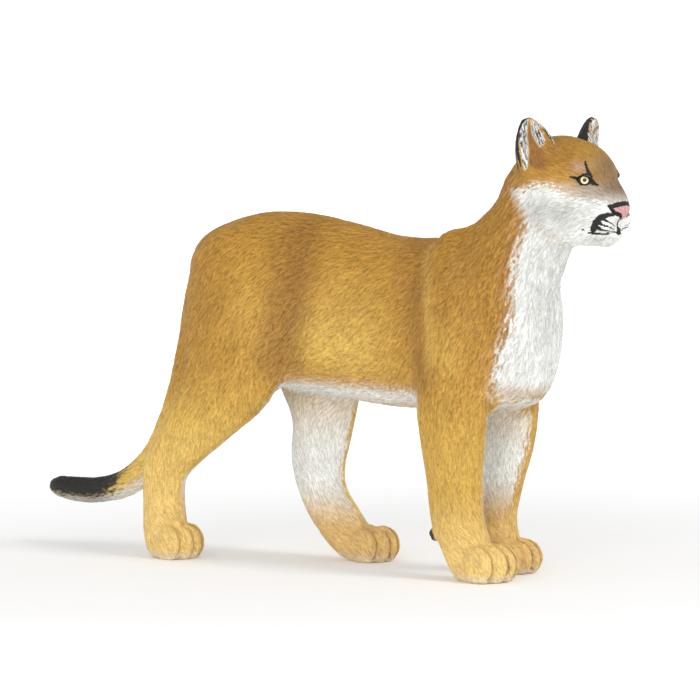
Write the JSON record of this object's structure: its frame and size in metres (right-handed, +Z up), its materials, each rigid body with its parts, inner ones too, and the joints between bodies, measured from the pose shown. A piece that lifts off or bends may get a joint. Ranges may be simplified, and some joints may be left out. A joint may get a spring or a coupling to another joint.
{
  "type": "toy cougar figurine",
  "caption": "Standing cougar figurine of painted moulded vinyl, head raised and level, tail low and curved, weight on flat paw soles, for play or display.",
  "frame": {"origin": "centre of the bounding box on the plane of the paw soles", "axes": "+X forward along the body towards the nose, +Y to the animal's left, +Z up"},
  "size_m": [0.1568, 0.032, 0.0963],
  "materials": {
    "torso": "matte painted vinyl",
    "neck": "matte painted vinyl",
    "head": "matte painted vinyl",
    "ear_right": "matte painted vinyl",
    "ear_left": "matte painted vinyl",
    "eye_right": "gloss painted vinyl",
    "eye_left": "gloss painted vinyl",
    "tail_root": "matte painted vinyl",
    "tail_middle": "matte painted vinyl",
    "tail_tip": "matte painted vinyl",
    "foreleg_right": "matte painted vinyl",
    "foreleg_left": "matte painted vinyl",
    "forepaw_right": "matte painted vinyl",
    "forepaw_left": "matte painted vinyl",
    "hindleg_right": "matte painted vinyl",
    "hindleg_left": "matte painted vinyl",
    "hindpaw_right": "matte painted vinyl",
    "hindpaw_left": "matte painted vinyl"
  },
  "bodies": {
    "root": {"torso": "torso", "neck": "neck", "head": "head", "ear_right": "ear_right", "ear_left": "ear_left", "eye_right": "eye_right", "eye_left": "eye_left", "tail_root": "tail_root", "tail_middle": "tail_middle", "tail_tip": "tail_tip", "foreleg_right": "foreleg_right", "foreleg_left": "foreleg_left", "forepaw_right": "forepaw_right", "forepaw_left": "forepaw_left", "hindleg_right": "hindleg_right", "hindleg_left": "hindleg_left", "hindpaw_right": "hindpaw_right", "hindpaw_left": "hindpaw_left"}
  },
  "joints": []
}
